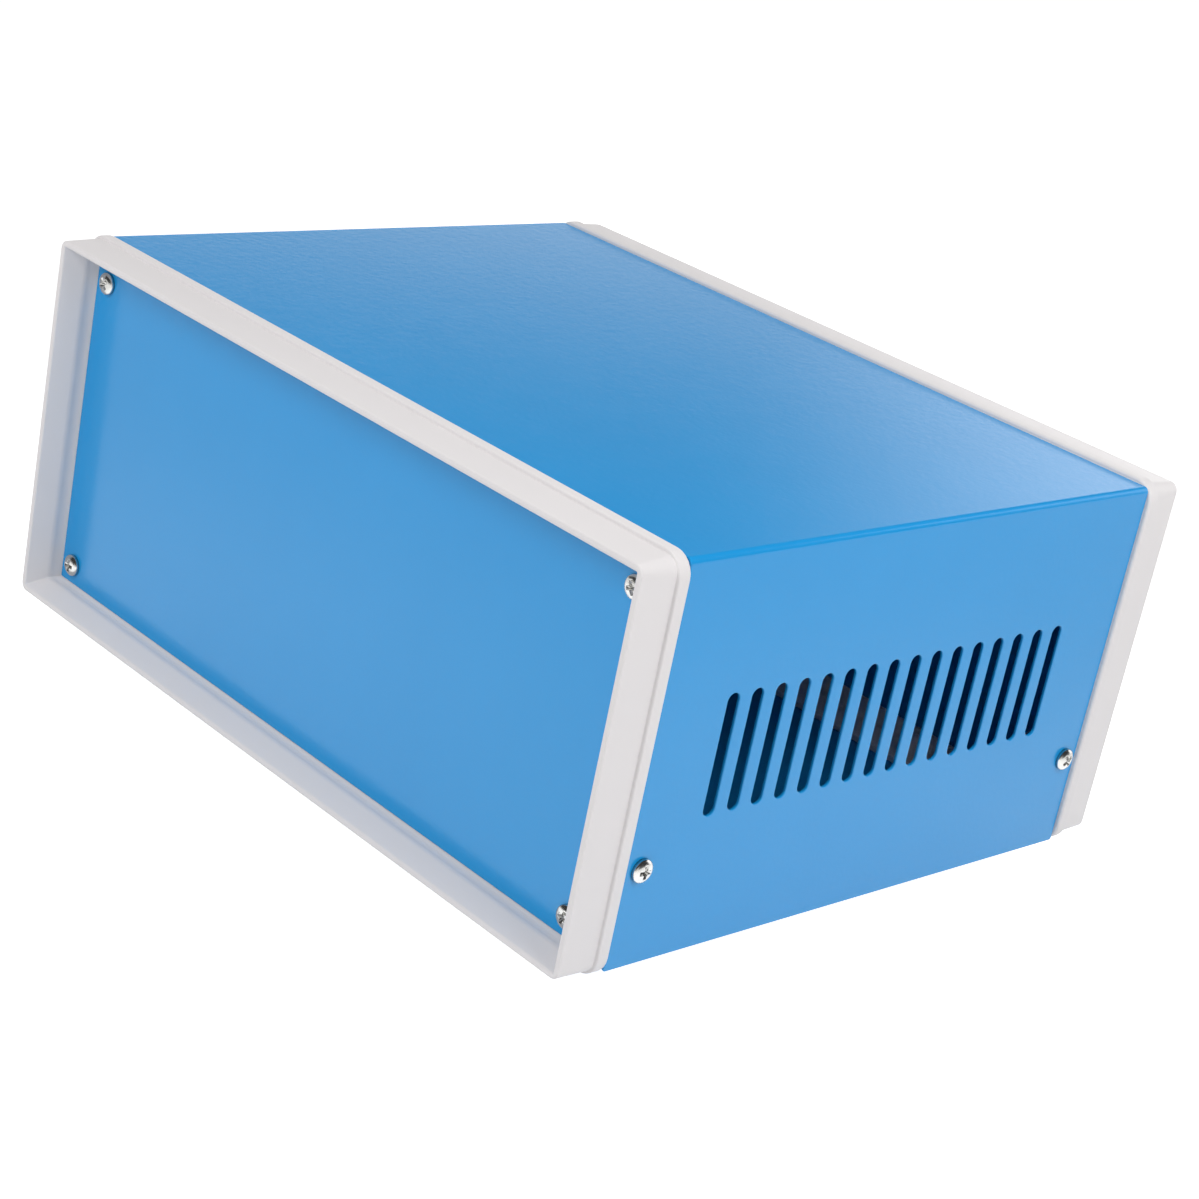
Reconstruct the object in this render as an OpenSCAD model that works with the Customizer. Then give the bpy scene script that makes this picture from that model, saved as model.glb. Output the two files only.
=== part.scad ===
// Sheet-metal instrument enclosure with moulded end bezels.
// A folded steel cover drops over a folded steel tray. A moulded bezel closes each end:
// its rim tucks inside the sheet, its flange butts against the sheet's edges and its hood
// stands forward round a recessed panel. Screws hold it all together, and rubber feet
// carry it. +Z is up, the front faces -Y, and the feet stand on Z = 0.

/* [Body] */
// Width across the cover's sides
body_w = 248; // [200:0.2:400]
// Distance between the two bezel flanges
body_d = 180; // [160:1:320]
// Height of the cover's sides
body_h = 110; // [95:1:180]
// Thickness of the steel sheet
sheet_t = 1; // [0.8:0.1:1.6]
// Inside radius of the sheet's bends
bend_r = 0.7; // [0.4:0.1:3]
// Clearance between nested sheets, and between sheet and rim
sheet_fit = 0.15; // [0.05:0.05:0.4]
// Gap between the sheet's cut ends and the flanges
end_gap = 0.2; // [0.05:0.05:0.5]
// Cut across the cover's lower corners
corner_cut = 0.5; // [0.5:0.5:4]

/* [Vents] */
// Number of vent slots in each side
vent_count = 16; // [4:1:17]
// Distance from slot to slot
vent_pitch = 8.55; // [5:0.05:9]
// Width of a slot
vent_w = 4.1; // [2:0.1:4.5]
// Length of a slot from end to end
vent_len = 33.5; // [15:0.5:50]
// Height of the slots' middle above the cover's lower edge
vent_z = 55; // [50:1:70]

/* [Tray] */
// Sheet left above the cover screws in the tray's sides
tray_edge = 8.5; // [5:0.5:15]
// Cut across the upper corners of the tray's sides
tray_cut = 4; // [1:0.5:8]

/* [Bezels] */
// Height of the flange above the cover's surface
flange_proud = 1.2; // [0.8:0.1:3]
// Thickness of the flange
flange_t = 4; // [3:0.5:8]
// Corner radius of the flange
flange_r = 6; // [4:0.5:12]
// Radius of the flange's soft front edge
flange_edge_r = 0.6; // [0.3:0.1:1.5]
// Depth of the hood in front of the flange
hood_d = 11; // [9:0.5:18]
// Step down from the flange to the hood's root
hood_step = 1; // [0.6:0.1:2]
// Draft of the hood from its root to its lip
hood_draft = 0.75; // [0.1:0.05:1.5]
// Corner radius at the hood's root
hood_r = 4.4; // [2:0.1:8]
// Corner radius at the hood's lip
lip_r = 2.5; // [0.6:0.1:3]
// Thickness of the lip
lip_t = 1.7; // [1:0.05:2]
// Radius of the lip's outer edge
lip_edge_r = 0.5; // [0.1:0.1:0.6]
// Depth of the flare behind the lip
flare_d = 6.4; // [3:0.1:7]
// Width of the flare
flare_w = 2.7; // [2:0.1:5]
// Draft of the wall between the flare and the panel
wall_draft = 0.1; // [0.1:0.05:1]
// Depth of the rim inside the sheet
rim_d = 11; // [10:0.5:20]
// Wall of the rim
rim_t = 2; // [1.5:0.1:3]
// Width of the seat behind the panel's edge
seat_w = 4; // [3:0.5:8]
// Thickness of the seat
seat_t = 2; // [1.5:0.1:3]
// Wall round the screw holes in the moulded bosses
boss_wall = 2; // [1.5:0.1:2.5]
// Moulded floor below a blind screw hole
boss_floor = 1.5; // [1:0.1:3]
// Thickness of the ribs that tie the bosses to the rim
rib_t = 1.6; // [1:0.1:2.5]

/* [Panels] */
// Thickness of the end panels
panel_t = 1.2; // [0.8:0.1:2]
// Clearance round the panel in its recess
panel_fit = 0.2; // [0.05:0.05:0.5]
// Depth of the panel's face behind the lip
panel_recess = 10.5; // [7.5:0.1:11]
// Distance from the cover's surface in to the panel screws
panel_screw_in = 11; // [10:0.1:16]

/* [Screws] */
// Thread diameter of all the screws
thread_d = 3; // [2.5:0.1:3.5]
// Clearance round the thread in a moulded hole or a nut
thread_fit = 0.05; // [0.02:0.01:0.1]
// Clearance round the thread in the sheet
hole_fit = 0.2; // [0.1:0.05:0.4]
// Head diameter
head_d = 6.5; // [5:0.1:7]
// Head height
head_h = 2; // [1.5:0.1:2.6]
// Radius of the head's upper edge
head_edge_r = 1.3; // [0.4:0.1:1.4]
// Width of one arm of the cross recess
cross_w = 1.1; // [0.5:0.1:1.3]
// Length of the cross recess from end to end
cross_len = 4.2; // [2:0.1:4.6]
// Metal left in the head below the cross recess
cross_floor = 0.8; // [0.4:0.1:1]
// Length of the panel screws below the head
panel_screw_len = 8; // [6:1:10]
// Length of the cover screws below the head
cover_screw_len = 10; // [8:1:12]
// Length of the tray screws below the head
tray_screw_len = 8; // [6:1:12]
// Room left in a blind hole beyond the screw's tip
tip_room = 1; // [0.5:0.1:2]
// Height of the cover screws above the cover's lower edge
cover_screw_z = 27.5; // [24:0.5:36]
// Distance from the flange in to the cover and tray screws
edge_screw_in = 5.7; // [5.2:0.1:6]
// Distance between the two tray screws at each end
tray_screw_gap = 150; // [80:5:180]

/* [Feet] */
// Diameter of a foot where it meets the tray
foot_d = 18; // [14:0.5:24]
// Height of a foot
foot_h = 8; // [7:0.5:15]
// Taper of a foot's radius towards the floor
foot_taper = 1.5; // [0.5:0.1:2]
// Edge radius at a foot's lower rim
foot_edge_r = 1; // [0.3:0.1:1.5]
// Distance from the cover's sides and from the flanges in to the feet
foot_in = 28; // [24:1:60]
// Rubber left between the tray and the washer
foot_seat = 3.5; // [2:0.1:4]
// Diameter of the washer in a foot
washer_d = 7; // [6:0.1:8]
// Thickness of the washer
washer_t = 0.6; // [0.4:0.1:1]
// Clearance round the washer and the screw head in a foot
washer_fit = 0.3; // [0.1:0.1:0.6]
// Width of a nut across its flats
nut_w = 5.5; // [5:0.1:7]
// Height of a nut
nut_h = 2.4; // [1.8:0.1:3]
// Length of a foot screw that shows past its nut
foot_screw_tip = 1; // [0.2:0.1:2]

/* [Hidden] */

$fn = 48;
// Overlap that keeps cuts and joined shapes from sharing a face
lap = 0.5;
// Steps round each corner of a lofted ring
loft_steps = 8;
// Turns at which a rounded edge of a loft has a ring
edge_turns = [0, 30, 60, 90];
// Most of the flange's step that its soft edge may take up
edge_share = 0.95;

paint_blue = [0.25, 0.57, 0.84];
bezel_white = [0.88, 0.87, 0.87];
zinc = [0.78, 0.78, 0.76];
rubber_black = [0.08, 0.08, 0.09];

// Sheet
bend_out_r = bend_r + sheet_t;
sheet_len = body_d - 2 * end_gap;
cover_in_w = body_w - 2 * sheet_t;
tray_w = cover_in_w - 2 * sheet_fit;
tray_in_w = tray_w - 2 * sheet_t;
tray_h = cover_screw_z + tray_edge;
cover_z = foot_h;
hole_d = thread_d + 2 * hole_fit;

// Bezel levels, counted forward from the flange's back face
hood_front = flange_t + hood_d;
crease_z = hood_front - flare_d;
panel_z = hood_front - panel_recess;
seat_z = panel_z - panel_t;
seat_back = seat_z - seat_t;

// Bezel insets, counted inward from the cover's surface
hood_in = hood_step - flange_proud;
lip_out_in = hood_in + hood_draft;
lip_in = lip_out_in + lip_t;
crease_in = lip_in + flare_w;
panel_in = crease_in + wall_draft;

// Rim that tucks inside the sheet
rim_corner_r = bend_r + sheet_fit;
rim_low_w = tray_in_w - 2 * sheet_fit;
rim_top_w = cover_in_w - 2 * sheet_fit;
rim_h = body_h - 2 * (sheet_t + sheet_fit);
rim_top_h = body_h - sheet_t - tray_h - 2 * sheet_fit;
rim_top_y = (tray_h - sheet_t) / 2;
rim_wall_in = (body_w - rim_low_w) / 2 + rim_t;

// Screw bosses
tap_d = thread_d + 2 * thread_fit;
boss_d = tap_d + 2 * boss_wall;
panel_bore = panel_screw_len - panel_t + tip_room;
cover_bore = cover_screw_len - 2 * (sheet_t + sheet_fit) + tip_room;
tray_bore = tray_screw_len - sheet_t - sheet_fit + tip_room;
panel_screw_x = body_w / 2 - panel_screw_in;
panel_screw_y = body_h / 2 - panel_screw_in;

// Feet
foot_x = body_w / 2 - foot_in;
foot_y = body_d / 2 - foot_in;
foot_bore_d = max(washer_d, head_d) + 2 * washer_fit;
washer_z = foot_h - foot_seat - washer_t;
foot_screw_len = washer_t + foot_seat + sheet_t + nut_h + foot_screw_tip;

// Rectangle with true arcs at its corners
module round_rect(w, h, r) {
    square([w - 2 * r, h], center = true);
    square([w, h - 2 * r], center = true);
    for (x = [-1, 1], y = [-1, 1])
        translate([x * (w / 2 - r), y * (h / 2 - r)]) circle(r);
}

// Section of a sheet folded up at both sides, standing on its web
module folded_channel(w, h) {
    module outline(w, h, r) {
        translate([-w / 2, r]) square([w, h - r]);
        translate([r - w / 2, 0]) square([w - 2 * r, h]);
        for (x = [-1, 1]) translate([x * (w / 2 - r), r]) circle(r);
    }
    difference() {
        outline(w, h, bend_out_r);
        translate([0, sheet_t]) outline(w - 2 * sheet_t, h, bend_r);
    }
}

// Slot with round ends, upright
module slot(w, len) {
    square([w, len - w], center = true);
    for (y = [-1, 1]) translate([0, y * (len - w) / 2]) circle(d = w);
}

// Cut through both sides of the sheet, drawn on the side with +Y of the drawing up
module through_sides() {
    rotate([90, 0, 90]) linear_extrude(body_w + 2 * lap, center = true) children();
}

// Triangle that takes a corner off a sheet's edge
module corner_triangle(size) {
    polygon([[-lap, -lap], [size + lap, -lap], [-lap, size + lap]]);
}

// Both ends of the body, front and rear
module each_end() {
    for (y = [-1, 1]) translate([0, y * (body_d / 2 - edge_screw_in), 0]) children();
}

// Bezel frame: X across, Y up from the body's middle, Z forward from the flange's back
module front_end() {
    translate([0, -body_d / 2, cover_z + body_h / 2]) rotate([90, 0, 0]) children();
}

module rear_end() {
    rotate([0, 0, 180]) front_end() children();
}

module each_panel_screw() {
    for (x = [-1, 1], y = [-1, 1])
        translate([x * panel_screw_x, y * panel_screw_y, 0]) children();
}

module each_foot() {
    for (x = [-1, 1], y = [-1, 1]) translate([x * foot_x, y * foot_y, 0]) children();
}

// Points of a rounded rectangle at height z, set in from the cover's surface
function ring(z, inset, r) = [
    for (corner = [0 : 3], step = [0 : loft_steps])
        let (turn = 90 * (corner + step / loft_steps),
             x = (corner == 0 || corner == 3) ? 1 : -1,
             y = corner < 2 ? 1 : -1)
        [x * (body_w / 2 - inset - r) + r * cos(turn),
         y * (body_h / 2 - inset - r) + r * sin(turn), z]
];

// Solid through a stack of rings, each given as [height, inset, corner radius]
module loft(levels) {
    n = 4 * (loft_steps + 1);
    last = (len(levels) - 1) * n;
    points = [for (level = levels) each ring(level[0], level[1], level[2])];
    sides = [
        for (k = [0 : len(levels) - 2], i = [0 : n - 1])
            let (a = k * n + i, b = k * n + (i + 1) % n)
            each [[a, a + n, b + n], [a, b + n, b]]
    ];
    floor_face = [for (i = [0 : n - 1]) i];
    roof_face = [for (i = [n - 1 : -1 : 0]) last + i];
    polyhedron(points, concat([floor_face], sides, [roof_face]));
}

// Outside of the bezel: the flange with its soft front edge, then the drafted hood
module bezel_outside() {
    edge_r = min(flange_edge_r, edge_share * hood_step);
    flange_edge = [
        for (a = edge_turns)
            [flange_t - edge_r * (1 - sin(a)),
             edge_r * (1 - cos(a)) - flange_proud,
             flange_r - edge_r * (1 - cos(a))]
    ];
    lip_edge = [
        for (a = edge_turns)
            [hood_front - lip_edge_r * (1 - sin(a)),
             lip_out_in + lip_edge_r * (1 - cos(a)),
             lip_r]
    ];
    loft(concat([[0, -flange_proud, flange_r]], flange_edge,
                [[flange_t, hood_in, hood_r]], lip_edge));
}

// Square-cornered taper between two heights, each with its inset from the cover's surface
module taper(low_z, low_in, high_z, high_in) {
    low = [body_w - 2 * low_in, body_h - 2 * low_in];
    high = [body_w - 2 * high_in, body_h - 2 * high_in];
    growth = [high[0] / low[0], high[1] / low[1]];
    translate([0, 0, low_z])
        linear_extrude(high_z - low_z, scale = growth, slices = 1, segments = 1)
            square(low, center = true);
}

// Inside of the hood: a flare behind the lip, then a steep wall down to the panel's seat
module hood_inside() {
    flare_slope = flare_w / flare_d;
    wall_slope = wall_draft / (crease_z - panel_z);
    taper(crease_z, crease_in, hood_front + lap, lip_in - lap * flare_slope);
    taper(panel_z, panel_in, crease_z + lap, crease_in - lap * wall_slope);
    translate([0, 0, seat_z]) linear_extrude(panel_t + lap)
        square([body_w - 2 * panel_in, body_h - 2 * panel_in], center = true);
}

// Outline of the rim: narrow between the tray's sides, wider above them
module rim_outline() {
    round_rect(rim_low_w, rim_h, rim_corner_r);
    translate([0, rim_top_y]) round_rect(rim_top_w, rim_top_h, rim_corner_r);
}

// Window that the seat leaves behind the panel
module seat_window() {
    window_in = panel_in + seat_w;
    square([body_w - 2 * window_in, body_h - 2 * window_in], center = true);
}

// Frame of the bezel before its bosses are added
module bezel_frame() {
    difference() {
        union() {
            bezel_outside();
            translate([0, 0, -rim_d]) linear_extrude(rim_d + flange_t / 2) rim_outline();
        }
        hood_inside();
        translate([0, 0, -lap]) linear_extrude(hood_front) seat_window();
        translate([0, 0, -rim_d - lap]) linear_extrude(rim_d + lap + seat_back)
            round_rect(rim_low_w - 2 * rim_t, rim_h - 2 * rim_t, rim_corner_r);
    }
}

// Boss for a blind screw hole: its mouth at Z = 0 and its body below
module boss(bore) {
    translate([0, 0, -bore - boss_floor]) cylinder(d = boss_d, h = bore + boss_floor);
}

module boss_hole(bore) {
    translate([0, 0, -bore]) cylinder(d = tap_d, h = bore + lap);
}

// Placement of the bezel's side bosses and bottom bosses, mouth outward
module each_side_boss() {
    for (x = [-1, 1])
        translate([x * rim_low_w / 2, cover_screw_z - body_h / 2, -edge_screw_in])
            rotate([0, x * 90, 0]) children();
}

module each_bottom_boss() {
    for (x = [-1, 1])
        translate([x * tray_screw_gap / 2, -rim_h / 2, -edge_screw_in])
            rotate([90, 0, 0]) children();
}

// Two ribs that tie a corner boss to the rim's side and to its top or bottom
module boss_ribs() {
    rib_back = seat_z - panel_bore - boss_floor;
    rib_len = panel_screw_in - rim_wall_in + rim_t / 2;
    rib_deep = seat_back - rib_back + seat_t / 2;
    for (x = [-1, 1], y = [-1, 1]) translate([x * panel_screw_x, y * panel_screw_y, rib_back]) {
        translate([x * rib_len / 2, 0, rib_deep / 2])
            cube([rib_len, rib_t, rib_deep], center = true);
        translate([0, y * rib_len / 2, rib_deep / 2])
            cube([rib_t, rib_len, rib_deep], center = true);
    }
}

// Moulded bezel: one shape serves both ends
module bezel() {
    difference() {
        union() {
            bezel_frame();
            translate([0, 0, seat_z]) each_panel_screw() boss(panel_bore);
            boss_ribs();
            each_side_boss() boss(cover_bore);
            each_bottom_boss() boss(tray_bore);
        }
        translate([0, 0, seat_z]) each_panel_screw() boss_hole(panel_bore);
        each_side_boss() boss_hole(cover_bore);
        each_bottom_boss() boss_hole(tray_bore);
    }
}

// Flat panel with a clearance hole at each corner
module panel() {
    panel_w = body_w - 2 * (panel_in + panel_fit);
    panel_h = body_h - 2 * (panel_in + panel_fit);
    translate([0, 0, seat_z]) difference() {
        linear_extrude(panel_t) square([panel_w, panel_h], center = true);
        translate([0, 0, -lap]) each_panel_screw() cylinder(d = hole_d, h = panel_t + 2 * lap);
    }
}

// Pan-head screw: its head stands on Z = 0 and its thread hangs below
module screw(len) {
    tip = thread_d / 6;
    cross_depth = head_h - cross_floor;
    difference() {
        rotate_extrude() {
            square([head_d / 2, head_h - head_edge_r]);
            square([head_d / 2 - head_edge_r, head_h]);
            intersection() {
                translate([head_d / 2 - head_edge_r, head_h - head_edge_r]) circle(head_edge_r);
                square([head_d, head_h]);
            }
        }
        for (turn = [0, 90]) rotate([0, 0, turn])
            translate([-cross_len / 2, -cross_w / 2, cross_floor])
                cube([cross_len, cross_w, cross_depth + lap]);
    }
    translate([0, 0, tip - len]) cylinder(d = thread_d, h = len - tip + cross_floor / 2);
    translate([0, 0, -len]) cylinder(d1 = thread_d - 2 * tip, d2 = thread_d, h = tip);
}

// Folded cover, open below, with vent slots in both sides
module top_cover() {
    color(paint_blue)
    difference() {
        translate([0, sheet_len / 2, cover_z + body_h]) rotate([90, 0, 0])
            linear_extrude(sheet_len) mirror([0, 1]) folded_channel(body_w, body_h);
        for (i = [0 : vent_count - 1])
            translate([0, (i - (vent_count - 1) / 2) * vent_pitch, cover_z + vent_z])
                through_sides() slot(vent_w, vent_len);
        each_end() translate([0, 0, cover_z + cover_screw_z]) through_sides() circle(d = hole_d);
        for (turn = [0, 180]) rotate([0, 0, turn]) translate([0, -sheet_len / 2, cover_z])
            through_sides() corner_triangle(corner_cut);
    }
}

// Folded tray that carries the bezels, the feet and the cover
module base_tray() {
    color(paint_blue)
    difference() {
        translate([0, sheet_len / 2, cover_z]) rotate([90, 0, 0])
            linear_extrude(sheet_len) folded_channel(tray_w, tray_h);
        each_end() translate([0, 0, cover_z + cover_screw_z]) through_sides() circle(d = hole_d);
        each_end() for (x = [-1, 1]) translate([x * tray_screw_gap / 2, 0, cover_z - lap])
            cylinder(d = hole_d, h = sheet_t + 2 * lap);
        each_foot() translate([0, 0, cover_z - lap]) cylinder(d = hole_d, h = sheet_t + 2 * lap);
        for (turn = [0, 180]) rotate([0, 0, turn])
            translate([0, -sheet_len / 2, cover_z + tray_h])
                through_sides() mirror([0, 1]) corner_triangle(tray_cut);
    }
}

module front_bezel() {
    color(bezel_white) front_end() bezel();
}

module rear_bezel() {
    color(bezel_white) rear_end() bezel();
}

module front_panel() {
    color(paint_blue) front_end() panel();
}

module rear_panel() {
    color(paint_blue) rear_end() panel();
}

module panel_screws() {
    color(zinc) translate([0, 0, panel_z]) each_panel_screw() screw(panel_screw_len);
}

module front_panel_screws() {
    front_end() panel_screws();
}

module rear_panel_screws() {
    rear_end() panel_screws();
}

// The two cover screws of one side: -1 is the left side, 1 the right
module cover_screws(side) {
    color(zinc) each_end() translate([side * body_w / 2, 0, cover_z + cover_screw_z])
        rotate([0, side * 90, 0]) screw(cover_screw_len);
}

// The two tray screws of one end: -1 is the front, 1 the rear
module tray_screws(end) {
    color(zinc) for (x = [-1, 1])
        translate([x * tray_screw_gap / 2, end * (body_d / 2 - edge_screw_in), cover_z])
            rotate([180, 0, 0]) screw(tray_screw_len);
}

// Rubber foot: tapered, with a soft lower rim and a deep hole for the screw's head
module foot() {
    low_r = foot_d / 2 - foot_taper;
    color(rubber_black)
    difference() {
        union() {
            translate([0, 0, foot_edge_r])
                cylinder(r1 = low_r, r2 = foot_d / 2, h = foot_h - foot_edge_r);
            cylinder(r = low_r - foot_edge_r, h = foot_edge_r);
            rotate_extrude() intersection() {
                translate([low_r - foot_edge_r, foot_edge_r]) circle(foot_edge_r);
                square([low_r, foot_edge_r]);
            }
        }
        translate([0, 0, -lap]) cylinder(d = foot_bore_d, h = foot_h - foot_seat + lap);
        cylinder(d = hole_d, h = foot_h + lap);
    }
}

module foot_screws() {
    color(zinc) each_foot() translate([0, 0, washer_z]) rotate([180, 0, 0]) screw(foot_screw_len);
}

module foot_washers() {
    color(zinc) each_foot() translate([0, 0, washer_z]) difference() {
        cylinder(d = washer_d, h = washer_t);
        translate([0, 0, -lap]) cylinder(d = hole_d, h = washer_t + 2 * lap);
    }
}

module foot_nuts() {
    color(zinc) each_foot() translate([0, 0, cover_z + sheet_t]) difference() {
        cylinder(d = nut_w / cos(30), h = nut_h, $fn = 6);
        translate([0, 0, -lap]) cylinder(d = tap_d, h = nut_h + 2 * lap);
    }
}

top_cover();
base_tray();
front_bezel();
rear_bezel();
front_panel();
rear_panel();
translate([-foot_x, -foot_y, 0]) foot();  // foot_front_left
translate([foot_x, -foot_y, 0]) foot();  // foot_front_right
translate([-foot_x, foot_y, 0]) foot();  // foot_rear_left
translate([foot_x, foot_y, 0]) foot();  // foot_rear_right
front_panel_screws();
rear_panel_screws();
cover_screws(-1);  // left_cover_screws
cover_screws(1);  // right_cover_screws
tray_screws(-1);  // front_tray_screws
tray_screws(1);  // rear_tray_screws
foot_screws();
foot_washers();
foot_nuts();
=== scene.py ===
# %% [markdown]
# # A sheet-metal instrument enclosure
#
# The object is a small steel case for electronics. A folded cover drops over a folded tray, a
# moulded off-white bezel closes each end, and a flat blue panel sits deep inside each bezel.
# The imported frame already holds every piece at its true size. This lesson makes the pieces
# again with the soft edges, threads and finishes that show when light falls on them, and sets
# each new piece exactly where the frame has the old one.

# %% Load the frame
import math

import bmesh
import bpy
from mathutils import Matrix, Quaternion, Vector


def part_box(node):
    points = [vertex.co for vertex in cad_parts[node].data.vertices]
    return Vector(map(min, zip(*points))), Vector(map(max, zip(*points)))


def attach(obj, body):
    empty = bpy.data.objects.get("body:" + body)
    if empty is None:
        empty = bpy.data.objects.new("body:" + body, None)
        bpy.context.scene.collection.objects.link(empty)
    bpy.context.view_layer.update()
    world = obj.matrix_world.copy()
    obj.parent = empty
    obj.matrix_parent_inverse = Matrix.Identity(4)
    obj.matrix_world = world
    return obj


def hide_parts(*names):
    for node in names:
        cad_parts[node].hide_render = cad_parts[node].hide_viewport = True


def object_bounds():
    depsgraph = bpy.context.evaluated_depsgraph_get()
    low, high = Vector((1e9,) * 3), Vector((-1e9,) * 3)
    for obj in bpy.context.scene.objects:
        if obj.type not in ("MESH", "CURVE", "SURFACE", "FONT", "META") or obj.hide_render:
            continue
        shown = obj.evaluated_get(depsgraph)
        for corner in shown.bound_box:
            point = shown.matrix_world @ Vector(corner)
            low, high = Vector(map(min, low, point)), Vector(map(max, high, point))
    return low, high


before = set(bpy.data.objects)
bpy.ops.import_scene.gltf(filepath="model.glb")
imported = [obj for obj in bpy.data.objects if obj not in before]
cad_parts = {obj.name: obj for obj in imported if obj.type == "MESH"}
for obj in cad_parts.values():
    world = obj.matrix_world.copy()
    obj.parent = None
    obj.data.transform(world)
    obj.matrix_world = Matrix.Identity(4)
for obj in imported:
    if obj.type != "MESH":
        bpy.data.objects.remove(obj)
cad_low, cad_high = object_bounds()
MM = 0.001
print("CAD box in mm:", [round(side / MM, 1) for side in cad_high - cad_low])

# %% [markdown]
# ## Sizes
#
# The big sizes come straight from the frame, so that the new pieces can't drift away from it.
# The boxes of the cover, a bezel and a panel give the case's width, depth and height and the
# depth of the recess. What a box can't tell, such as a bend's radius or a slot's width, is
# written in the cell that needs it.

# %% Read the main sizes
cover_low, cover_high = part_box("top_cover")
tray_low, tray_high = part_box("base_tray")
bezel_low, bezel_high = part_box("front_bezel")
panel_low, panel_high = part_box("front_panel")

body_width = cover_high.x - cover_low.x
body_height = cover_high.z - cover_low.z
body_middle = (cover_high.z + cover_low.z) / 2
end_gap = 0.2 * MM
body_depth = cover_high.y - cover_low.y + 2 * end_gap
sheet_thickness = 1.0 * MM
print("body in mm:", [round(s / MM, 2) for s in (body_width, body_depth, body_height)])

# %% [markdown]
# ## Camera
#
# The photograph was taken from the front right corner, a little above the case, with the
# camera turned about its own axis so that the case seems to tip. The place, the two angles,
# the turn and the focal length were fitted to the case's corners, so the camera is set by
# those numbers and not by eye. There is no shift and no depth of field.

# %% Place the camera
camera_place = Vector((500.25, -515.96, 323.54)) * MM
camera_azimuth = math.radians(43.369)
camera_elevation = math.radians(21.155)
camera_roll = math.radians(11.573)
camera_lens = 79.07

look = Vector((
    -math.sin(camera_azimuth) * math.cos(camera_elevation),
    math.cos(camera_azimuth) * math.cos(camera_elevation),
    -math.sin(camera_elevation),
))
camera = bpy.data.objects.new("camera", bpy.data.cameras.new("camera"))
camera.data.lens = camera_lens
camera.data.sensor_width = 36.0
camera.location = camera_place
camera.rotation_mode = "QUATERNION"
camera.rotation_quaternion = look.to_track_quat("-Z", "Y") @ Quaternion((0, 0, 1), camera_roll)
bpy.context.scene.collection.objects.link(camera)
bpy.context.scene.camera = camera
bpy.context.scene.view_settings.view_transform = "Standard"
print("camera looks along", [round(c, 3) for c in look])

# %% [markdown]
# ## Studio
#
# The case stands in plain white surroundings. Two things are kept apart here: the lamps light its
# faces, and the world is what its gloss mirrors. The world, the floor and the finishes are all
# made of nodes, so a few small helpers come first. They add a node, turn a value into a smooth
# step, do sums and tell which rays come from the camera or from gloss.

# %% Helpers for node trees
def add_node(tree, kind, **settings):
    """Add a node to a node tree and set its inputs or properties by name."""
    node = tree.nodes.new(kind)
    for name, value in settings.items():
        key = name.replace("_", " ").title()
        if key in node.inputs:
            node.inputs[key].default_value = value
        else:
            setattr(node, name, value)
    return node


def ramp(tree, value, start, end, low, high):
    """Smooth step of a value: low at start, high at end, and level beyond them."""
    step = add_node(tree, "ShaderNodeMapRange", interpolation_type="SMOOTHSTEP")
    for name, number in zip(("From Min", "From Max", "To Min", "To Max"), (start, end, low, high)):
        step.inputs[name].default_value = number
    tree.links.new(value, step.inputs["Value"])
    return step.outputs[0]


def sums(tree, operation, *values):
    """Chain of Math nodes over sockets or plain numbers."""
    total = values[0]
    for value in values[1:]:
        node = add_node(tree, "ShaderNodeMath", operation=operation)
        for socket, part in zip(node.inputs, (total, value)):
            if isinstance(part, (int, float)):
                socket.default_value = part
            else:
                tree.links.new(part, socket)
        total = node.outputs[0]
    return total


def seen_ray(tree):
    """Socket that is 1 for rays from the camera, from gloss and through glass."""
    path = add_node(tree, "ShaderNodeLightPath")
    kinds = ("Is Camera Ray", "Is Glossy Ray", "Is Transmission Ray")
    return sums(tree, "MAXIMUM", *[path.outputs[kind] for kind in kinds])


# %% [markdown]
# ## World
#
# Gloss needs something to mirror, and a softbox would only show as a hard disc in it. So gloss
# sees no lamps. It sees the world, which is a white sweep behind the case: bright at the
# horizon and dim above it, with a brighter patch to the right. A second glow further to the right
# draws the pale line along the rear half of the cover's bend. The camera itself sees plain white.
# A picture of a real studio could do the same, but a few smooth steps are easier to move.

# %% Directions in the world
camera_right = Vector((math.cos(camera_azimuth), math.sin(camera_azimuth), 0))
camera_ahead = Vector((-math.sin(camera_azimuth), math.cos(camera_azimuth), 0))
world = bpy.data.worlds.new("studio")
bpy.context.scene.world = world
world.use_nodes = True
tree = world.node_tree
direction = add_node(tree, "ShaderNodeTexCoord").outputs["Generated"]
upward = add_node(tree, "ShaderNodeSeparateXYZ")
tree.links.new(direction, upward.inputs[0])
height = upward.outputs["Z"]


def share_along(axis):
    """How far a direction of the world points along an axis."""
    dot = add_node(tree, "ShaderNodeVectorMath", operation="DOT_PRODUCT")
    dot.inputs[1].default_value = axis
    tree.links.new(direction, dot.inputs[0])
    return dot.outputs["Value"]


sideways = share_along(camera_right)
ahead = share_along(camera_ahead)
print("right of the picture is", [round(c, 3) for c in camera_right])

# %% [markdown]
# A direction is known by its height and by how far it points to the right and ahead. Each step
# below turns one of these numbers into a share between two edges, and sums of them give the
# brightness. Matt faces don't see any of that: they get the same plain level from all sides.

# %% Brightness of the world
ambient_level = 0.47
sweep_dim = 0.045
sweep_half_width = (0.42, 0.62)
horizon_white = 1.24
horizon_reach = (math.sin(math.radians(13.2)), math.sin(math.radians(14.6)))
right_glow = 1.48
right_glow_reach = (0.02, 0.25)
glow_height = (0.36, 0.48)
bend_glow = 2.0
bend_glow_right = (0.50, 0.62)
bend_glow_ahead = (0.20, 0.30)
bend_glow_height = (0.50, 0.60)
front_share = 0.35
front_fade = (0.0, 0.3)

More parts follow.
